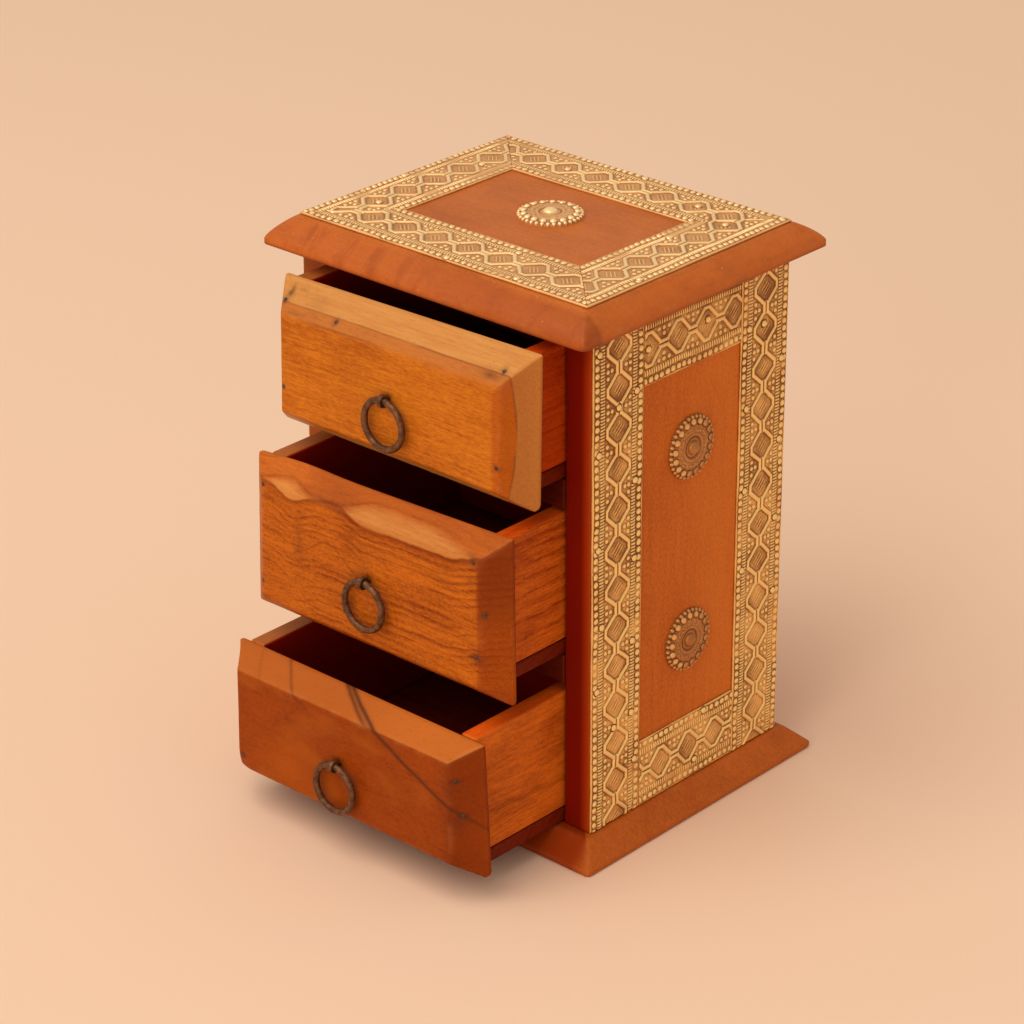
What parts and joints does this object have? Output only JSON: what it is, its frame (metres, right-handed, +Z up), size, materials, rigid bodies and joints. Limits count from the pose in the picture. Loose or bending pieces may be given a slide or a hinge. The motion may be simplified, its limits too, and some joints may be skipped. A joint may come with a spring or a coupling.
{
  "type": "chest of drawers",
  "caption": "Small table-top wooden chest with bevelled top and base, open sliding drawers with iron ring pulls, and embossed brass strips and rosettes.",
  "frame": {"origin": "middle of the underside of the base board", "axes": "+Z up, drawers open towards -Y, +X to the right seen from the front"},
  "size_m": [0.13, 0.1511, 0.1803],
  "materials": {
    "panel_wood": "satin polish",
    "board_wood": "satin polish",
    "divider_wood": "dark stain",
    "lower_front_wood": "satin polish",
    "middle_front_wood": "satin polish",
    "upper_front_wood": "satin polish",
    "drawer_wood": "satin polish",
    "drawer_bottom_wood": "plain",
    "brass": "embossed, aged in the recesses",
    "bronze": "embossed, dark patina",
    "iron": "dark, lightly rusted"
  },
  "bodies": {
    "carcass": {"base_board": "board_wood", "left_side_panel": "panel_wood", "right_side_panel": "panel_wood", "back_panel": "panel_wood", "lower_divider": "divider_wood", "upper_divider": "divider_wood", "top_board": "board_wood", "top_front_strip": "brass", "top_back_strip": "brass", "top_left_strip": "brass", "top_right_strip": "brass", "left_front_strip": "brass", "left_rear_strip": "brass", "left_upper_strip": "brass", "left_lower_strip": "brass", "right_front_strip": "brass", "right_rear_strip": "brass", "right_upper_strip": "brass", "right_lower_strip": "brass", "top_rosette": "brass", "left_upper_rosette": "bronze", "left_lower_rosette": "bronze", "right_upper_rosette": "bronze", "right_lower_rosette": "bronze", "top_rosette_stud": "brass", "left_upper_rosette_stud": "bronze", "left_lower_rosette_stud": "bronze", "right_upper_rosette_stud": "bronze", "right_lower_rosette_stud": "bronze"},
    "lower_drawer": {"lower_drawer_front": "lower_front_wood", "lower_drawer_left_side": "drawer_wood", "lower_drawer_right_side": "drawer_wood", "lower_drawer_back": "drawer_wood", "lower_drawer_bottom": "drawer_bottom_wood", "lower_ring_eye": "iron"},
    "lower_ring": {"lower_ring_pull": "iron"},
    "middle_drawer": {"middle_drawer_front": "middle_front_wood", "middle_drawer_left_side": "drawer_wood", "middle_drawer_right_side": "drawer_wood", "middle_drawer_back": "drawer_wood", "middle_drawer_bottom": "drawer_bottom_wood", "middle_ring_eye": "iron"},
    "middle_ring": {"middle_ring_pull": "iron"},
    "upper_drawer": {"upper_drawer_front": "upper_front_wood", "upper_drawer_left_side": "drawer_wood", "upper_drawer_right_side": "drawer_wood", "upper_drawer_back": "drawer_wood", "upper_drawer_bottom": "drawer_bottom_wood", "upper_ring_eye": "iron"},
    "upper_ring": {"upper_ring_pull": "iron"}
  },
  "joints": [
    {"name": "lower_drawer_slide", "type": "slide", "parent": "carcass", "child": "lower_drawer", "axis": [0, -1, 0], "range_m": [-0.0376, 0.0224]},
    {"name": "lower_ring_swing", "type": "hinge", "parent": "lower_drawer", "child": "lower_ring", "pos_m": [0, -0.09406, 0.03083], "axis": [-1, 0, 0], "range_deg": [-3, 175]},
    {"name": "middle_drawer_slide", "type": "slide", "parent": "carcass", "child": "middle_drawer", "axis": [0, -1, 0], "range_m": [-0.0258, 0.0342]},
    {"name": "middle_ring_swing", "type": "hinge", "parent": "middle_drawer", "child": "middle_ring", "pos_m": [0, -0.07997, 0.08625], "axis": [-1, 0, 0], "range_deg": [-3, 175]},
    {"name": "upper_drawer_slide", "type": "slide", "parent": "carcass", "child": "upper_drawer", "axis": [0, -1, 0], "range_m": [-0.0136, 0.0464]},
    {"name": "upper_ring_swing", "type": "hinge", "parent": "upper_drawer", "child": "upper_ring", "pos_m": [0, -0.07007, 0.14097], "axis": [-1, 0, 0], "range_deg": [-3, 175]}
  ]
}
